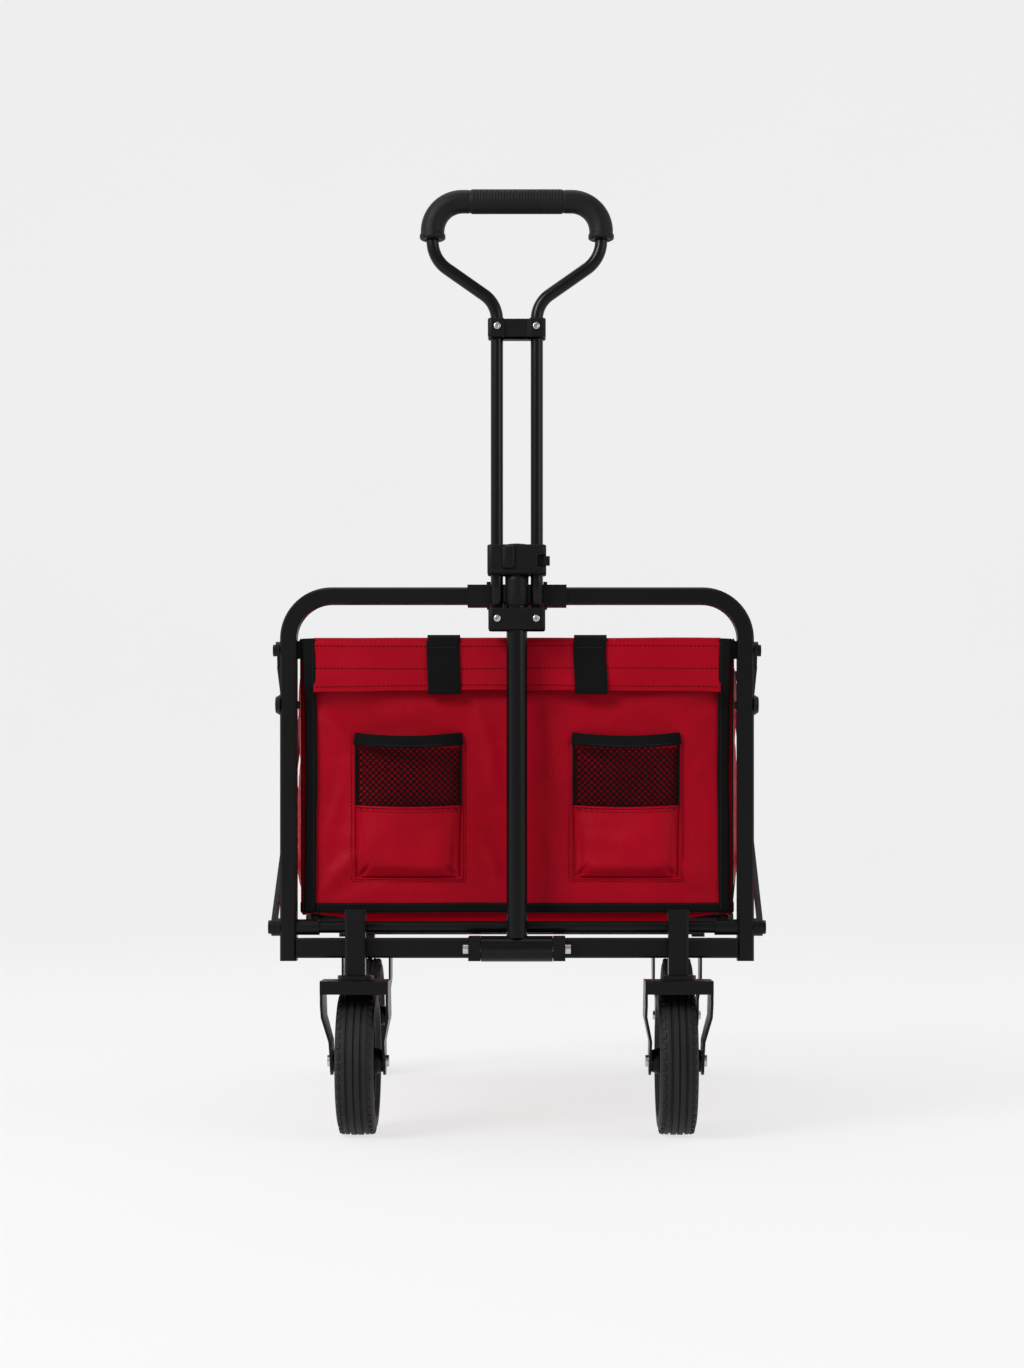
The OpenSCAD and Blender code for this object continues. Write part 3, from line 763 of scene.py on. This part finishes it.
# ------------------------------------------------------------ handle loop and grip
def arc_path():
    dg = math.radians(55)
    A, B, Cc, D = 0.030, 0.034, 0.030, 0.0454
    pts = [(0.020, 0.5112), (0.020, 0.56), (0.020, 0.70), (0.020, 0.815)]
    xa, za = 0.020 + A * (1 - math.cos(dg)), 0.822 + A * math.sin(dg)
    xb, zb = xa + D * math.sin(dg), za + D * math.cos(dg)
    gx, zc = xb + B * (1 - math.cos(dg)), zb + B * math.sin(dg)
    gz = 0.940
    for i in range(0, 13):
        t = dg * i / 12
        pts.append((0.020 + A * (1 - math.cos(t)), 0.822 + A * math.sin(t)))
    for i in range(0, 13):
        t = dg * (1 - i / 12)
        pts.append((gx - B * (1 - math.cos(t)), zc - B * math.sin(t)))
    low = len(pts)
    for i in range(0, 17):
        t = math.pi / 2 * i / 16
        pts.append((gx - Cc * (1 - math.cos(t)), gz - Cc + Cc * math.sin(t)))
    return pts, low, gx, zc, gz


half, low, gx, zc, gz = arc_path()
path = [(x, YH, z) for x, z in half] + [(-x, YH, z) for x, z in reversed(half)]
lp = tube(path, 0.00625, "loop_tube", M["loopsteel"], "handle_upper", 32)
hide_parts("handle_loop")


def grip():
    seq = []
    for z in np.linspace(0.9017, gz - 0.030, 12)[:-1]:
        seq.append((gx, z))
    for i in range(0, 33):
        t = math.pi / 2 * i / 32
        seq.append((gx - 0.030 * (1 - math.cos(t)), gz - 0.030 + 0.030 * math.sin(t)))
    inner = seq[-1][0]
    n_mid = 260
    mid = [(inner - 2 * inner * k / n_mid, gz) for k in range(1, n_mid)]
    seq = seq + mid + [(-x, z) for x, z in reversed(seq)]
    pts = np.array([(x, YH, z) for x, z in seq])
    T = np.gradient(pts, axis=0)
    T /= np.linalg.norm(T, axis=1, keepdims=True)
    d = np.r_[0, np.cumsum(np.linalg.norm(np.diff(pts, axis=0), axis=1))]
    L = d[-1]
    n = 96
    V, F = [], []
    for p, t, s in zip(pts, T, d):
        e = min(s, L - s)
        r = 0.0119
        r += 0.0010 * smooth(0.0065 - e, 0, 0.002)      # cuff
        r -= 0.0016 * smooth(0.0012 - e, 0, 0.0012)
        r += 0.0004 * smooth(abs(L / 2 - s), 0.05, 0.10) - 0.0004
        m = smooth(0.0460 - abs(s - L / 2), 0, 0.0016)
        a = np.cross(np.array([0, 1.0, 0]), t)
        a /= np.linalg.norm(a)
        b = np.cross(t, a)
        for k in range(n):
            w = 2 * math.pi * k / n
            rr = r
            if m > 0:
                rr += 0.0006 * m
                tex = abs(math.sin(s * math.pi / 0.0030)) * abs(math.sin(w * 16 + (int(s / 0.0030) % 2) * math.pi / 2))
                rr -= 0.0007 * m * (tex > 0.55) * tex
            rr -= 0.00045 * math.exp(-((abs(s - L / 2) - 0.0472) / 0.0006) ** 2)
            # moulding line along the sides
            rr += 0.00022 * math.exp(-((w % math.pi - math.pi / 2) / 0.03) ** 2)
            V.append(p + rr * (math.cos(w) * a + math.sin(w) * b))
    m_ = len(pts)
    for i in range(m_ - 1):
        for k in range(n):
            k2 = (k + 1) % n
            F.append((i * n + k, (i + 1) * n + k, (i + 1) * n + k2, i * n + k2))
    # turned-in ends that meet the tube
    for base, rev in ((0, False), ((m_ - 1) * n, True)):
        c = pts[0] if not rev else pts[-1]
        ring = [np.array(V[base + k]) for k in range(n)]
        o = len(V)
        for q in ring:
            dv = q - c
            V.append(c + dv / np.linalg.norm(dv) * 0.0064)
        for k in range(n):
            k2 = (k + 1) % n
            F.append((base + k, base + k2, o + k2, o + k))
        o2 = len(V)
        for q in ring:
            dv = q - c
            V.append(c + dv / np.linalg.norm(dv) * 0.0064 + np.array([0, 0, 0.004]))
        for k in range(n):
            k2 = (k + 1) % n
            F.append((o + k, o + k2, o2 + k2, o2 + k))
        F.append(tuple(o2 + k for k in range(n)))
    g = make("grip_sleeve", V, F, M["foam"], "handle_upper", True)
    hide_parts("handle_grip")


grip()


# ------------------------------------------------------------ small real details on the plastic parts
def ring(name, c, axis, r, t, mat, body, slot="zinc_steel", n=28, slotcut=True):
    """pan head with a hex socket, standing on a face whose outward normal is axis"""
    c = np.array(c, float)
    ax = np.array(axis, float)
    ax /= np.linalg.norm(ax)
    a = np.cross(ax, [0.3, 0.2, 0.9])
    a /= np.linalg.norm(a)
    b = np.cross(ax, a)
    prof = [(1.0, 0.0), (1.0, 0.45), (0.93, 0.75), (0.78, 0.95), (0.55, 1.0), (0.46, 0.96)]
    V, F = [], []
    for rr, hh in prof:
        for k in range(n):
            w = 2 * math.pi * k / n
            V.append(c + ax * hh * t + r * rr * (math.cos(w) * a + math.sin(w) * b))
    for hh in (0.92, 0.25):
        for k in range(n):
            w = 2 * math.pi * k / n
            hexr = 0.44 * math.cos(math.pi / 6) / math.cos((w % (math.pi / 3)) - math.pi / 6)
            V.append(c + ax * hh * t + r * hexr * (math.cos(w) * a + math.sin(w) * b))
    rows = len(prof) + 2
    for i in range(rows - 1):
        for k in range(n):
            k2 = (k + 1) % n
            F.append((i * n + k, (i + 1) * n + k, (i + 1) * n + k2, i * n + k2))
    F.append(tuple((rows - 1) * n + k for k in range(n)))
    F.append(tuple(k for k in range(n - 1, -1, -1)))
    o = make(name, V, F, mat, body, False)
    for p in o.data.polygons:
        p.use_smooth = len(p.vertices) == 4 and p.index < (len(prof) - 1) * n
    return o


hs = [ring("screw_head_%d" % i, (sx * 0.0195, YH - dy, z), (0, -1, 0), 0.0036, 0.0020, M["zinc"], "handle_upper")
      for i, (sx, z, dy) in enumerate([(-1, 0.521, 0.013), (1, 0.521, 0.013), (-1, 0.813, 0.012), (1, 0.813, 0.012)])]
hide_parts("handle_screws")


def rounded_block(name, x0, x1, y0, y1, z0, z1, r, mat, body):
    bm = bmesh.new()
    bmesh.ops.create_cube(bm, size=1.0)
    for v in bm.verts:
        v.co = ((x0 + x1) / 2 + v.co.x * (x1 - x0), (y0 + y1) / 2 + v.co.y * (y1 - y0), (z0 + z1) / 2 + v.co.z * (z1 - z0))
    bmesh.ops.bevel(bm, geom=bm.edges[:], offset=r, segments=5, profile=0.5, affect="EDGES")
    me = bpy.data.meshes.new(name)
    bm.to_mesh(me)
    bm.free()
    me.polygons.foreach_set("use_smooth", [True] * len(me.polygons))
    me.materials.append(mat)
    o = bpy.data.objects.new(name, me)
    C.scene.collection.objects.link(o)
    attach(o, body)
    return o


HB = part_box("handle_housing")
rounded_block("housing_tongue", -0.0148, -0.0015, HB[0][1] - 0.0034, HB[0][1] + 0.004, HB[0][2] + 0.0050, HB[1][2] - 0.0012, 0.0032, M["plastic"], "handle_lower")
rounded_block("housing_rib", -0.026, 0.020, HB[0][1] - 0.0012, HB[0][1] + 0.003, HB[0][2] + 0.0012, HB[0][2] + 0.0042, 0.0010, M["plastic"], "handle_lower")
# rounded collars where the pole leaves the housing and meets the hinge sleeve
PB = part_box("handle_pole")
tube([(0, YH, HB[0][2] - 0.0005), (0, YH, HB[0][2] - 0.0060), (0, YH, HB[0][2] - 0.0160), (0, YH, HB[0][2] - 0.0300), (0, YH, HB[0][2] - 0.0310), (0, YH, HB[0][2] - 0.0314)],
     [0.0120, 0.0118, 0.0116, 0.0116, 0.0112, 0.0104], "pole_collar", M["plastic"], "handle_lower", 40)


# shoulder lugs of the tread, laid on the tyre's own outline
def tread(node, body):
    me = NODES[node].data
    co = np.zeros(len(me.vertices) * 3)
    me.vertices.foreach_get("co", co)
    co = co.reshape(-1, 3)
    lo, hi = co.min(0), co.max(0)
    cx, cy, cz = (lo + hi) / 2
    hw = (hi[0] - lo[0]) / 2
    rad = np.hypot(co[:, 1] - cy, co[:, 2] - cz)
    ax = np.abs(co[:, 0] - cx)
    outer = rad > rad.max() * 0.80
    order = np.argsort(ax[outer])
    aa, rr = ax[outer][order], rad[outer][order]

    def r_at(a):
        near = np.abs(aa - a) < hw * 0.10
        if near.any():
            return float(np.max(rr[near]))
        return float(np.interp(a, aa, rr))
    a0, a1 = hw * 0.70, hw * 0.93
    r0, r1 = r_at(a0), r_at(a1)
    V, F = [], []
    n = 44
    for sgn in (-1, 1):
        for k in range(n):
            an = 2 * math.pi * (k + (0.5 if sgn > 0 else 0)) / n
            half = math.pi / n * 0.62
            o = len(V)
            for (a, r, h, e) in ((a0, r0, 0.0002, 1.0), (a1, r1, -0.0002, 1.0), (a0 + hw * 0.03, r0, 0.0011, 0.80), (a1 - hw * 0.02, r1, 0.0012, 0.80)):
                for q in (-1, 1):
                    t = an + q * half * e
                    V.append((cx + sgn * a, cy + (r + h) * math.cos(t), cz + (r + h) * math.sin(t)))
            F += [(o, o + 1, o + 5, o + 4), (o + 2, o + 6, o + 7, o + 3), (o, o + 4, o + 6, o + 2), (o + 1, o + 3, o + 7, o + 5), (o + 4, o + 5, o + 7, o + 6), (o, o + 2, o + 3, o + 1)]
    make("tread_" + node[5:], V, F, M["tyre"], body, False)


for wname in ("front_left", "front_right", "rear_left", "rear_right"):
    tread("tyre_" + wname, "wheel_" + wname)


# ------------------------------------------------------------ stage, light, camera
def stage():
    """one sheet of paper, a round bowl with the object in its middle; it glows, a painted light that makes it look pale
    and lifts the shadows cast on it
    """
    V, F = [(0, 0, 0)], []
    prof = [(2.0, 0.0), (4.4, 0.0)]
    for i in range(1, 19):
        a = math.pi / 2 * i / 18
        prof.append((4.4 + 2.2 * math.sin(a), 2.2 - 2.2 * math.cos(a)))
    prof.append((6.6, 7.5))
    n = 96
    for r, z in prof:
        V += [(r * math.cos(2 * math.pi * k / n), r * math.sin(2 * math.pi * k / n), z) for k in range(n)]
    F += [(0, 1 + k, 1 + (k + 1) % n) for k in range(n)]
    for i in range(len(prof) - 1):
        for k in range(n):
            k2 = (k + 1) % n
            F.append((1 + i * n + k, 1 + (i + 1) * n + k, 1 + (i + 1) * n + k2, 1 + i * n + k2))
    m, t, b, co = nodes_of("glowing_stage_paper")
    t.links.new(ramp(t, noise_tex(t, co, 1.2, 3), [(0.3, (0.176, 0.176, 0.1775)), (0.7, (0.183, 0.183, 0.1845))]), b.inputs["Base Color"])
    b.inputs["Emission Color"].default_value = (1.0, 1.0, 1.002, 1)
    # painted light: the paper's glow is set weaker on the side in front of the object
    sep = t.nodes.new("ShaderNodeSeparateXYZ")
    t.links.new(co, sep.inputs[0])
    mr = t.nodes.new("ShaderNodeMapRange")
    mr.interpolation_type = "SMOOTHSTEP"
    for k, v in ((1, -5.0), (2, -2.9), (3, 0.28), (4, 0.705)):
        mr.inputs[k].default_value = v
    t.links.new(sep.outputs[1], mr.inputs[0])
    t.links.new(mr.outputs[0], b.inputs["Emission Strength"])
    b.inputs["Roughness"].default_value = 0.9
    b.inputs["Specular IOR Level"].default_value = 0.1
    o = make("stage_floor", V, F, m, None, True)


stage()
world = bpy.data.worlds.new("studio")
C.scene.world = world
world.use_nodes = True
world.node_tree.nodes["Background"].inputs[0].default_value = (1.0, 1.0, 1.0, 1)
world.node_tree.nodes["Background"].inputs[1].default_value = 0.30


def area(name, loc, target, size, power, sy=None):
    l = bpy.data.lights.new(name, "AREA")
    l.shape = "RECTANGLE"
    l.size = size
    l.size_y = sy or size
    l.energy = power
    o = bpy.data.objects.new(name, l)
    C.scene.collection.objects.link(o)
    o.location = loc
    o.rotation_euler = (Vector(target) - Vector(loc)).to_track_quat("-Z", "Y").to_euler()
    return o


area("key", (-2.1, -2.6, 2.5), (0, -0.1, 0.35), 1.6, 98)
area("fill", (2.6, -2.4, 1.6), (0, 0, 0.4), 1.6, 20)
area("top", (-0.4, 0.2, 4.2), (0, 0.2, 0), 3.0, 44)
area("back_wash", (0, 2.2, 4.4), (0, 5.2, 1.0), 4.0, 30, 1.5)

cam = bpy.data.cameras.new("camera")
co = bpy.data.objects.new("camera", cam)
C.scene.collection.objects.link(co)
co.location = (0.0216, -2.801, 0.285)
co.rotation_euler = (math.radians(90), 0, 0)
cam.lens = 63.2
cam.sensor_width = 36
cam.shift_x = -0.0193
cam.shift_y = 0.125
cam.clip_end = 60
C.scene.camera = co
C.scene.view_settings.view_transform = "Standard"
